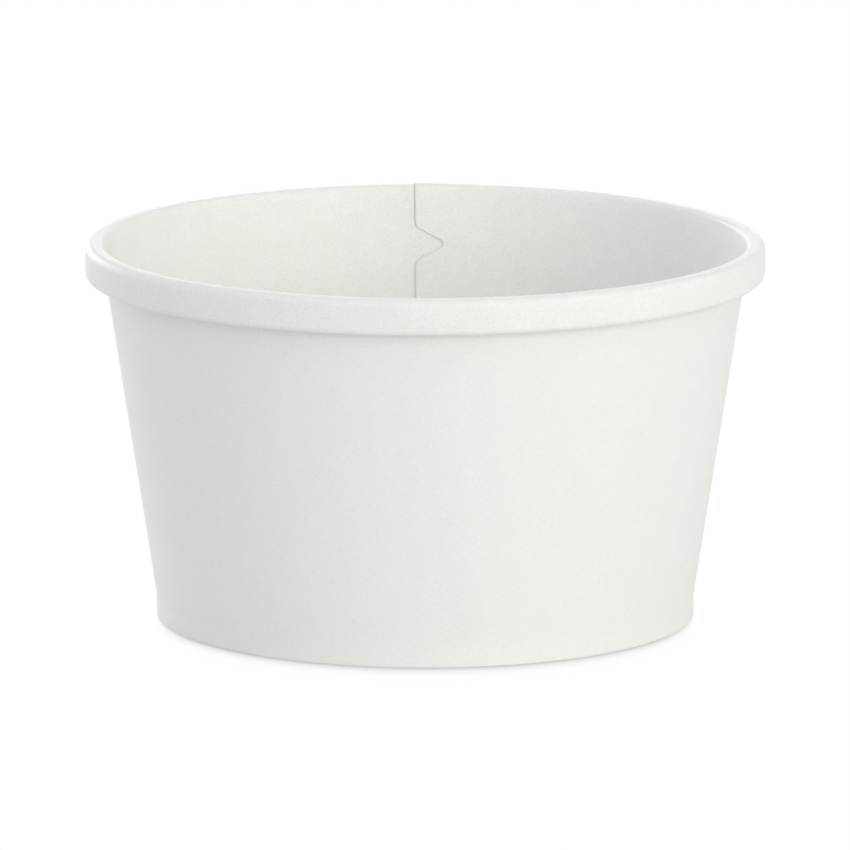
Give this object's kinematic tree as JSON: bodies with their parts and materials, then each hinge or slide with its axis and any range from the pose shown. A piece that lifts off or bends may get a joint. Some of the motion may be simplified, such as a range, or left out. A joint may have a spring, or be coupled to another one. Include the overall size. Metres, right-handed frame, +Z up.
{
  "type": "paper sundae cup",
  "caption": "Squat white paper cup for ice cream and desserts, with a lapped side seam, a hemmed foot and a flattened rolled rim.",
  "frame": {"origin": "centre of the foot, on the surface that the cup stands on", "axes": "+Z up along the cup's axis, +Y towards the lap seam at the back, +X to the right"},
  "size_m": [0.096, 0.096, 0.0538],
  "materials": {
    "sidewall_board": "smooth white paperboard, satin where it is coated",
    "bottom_board": "smooth white paperboard, satin where it is coated"
  },
  "bodies": {
    "root": {"sidewall": "sidewall_board", "bottom_disc": "bottom_board"}
  },
  "joints": []
}
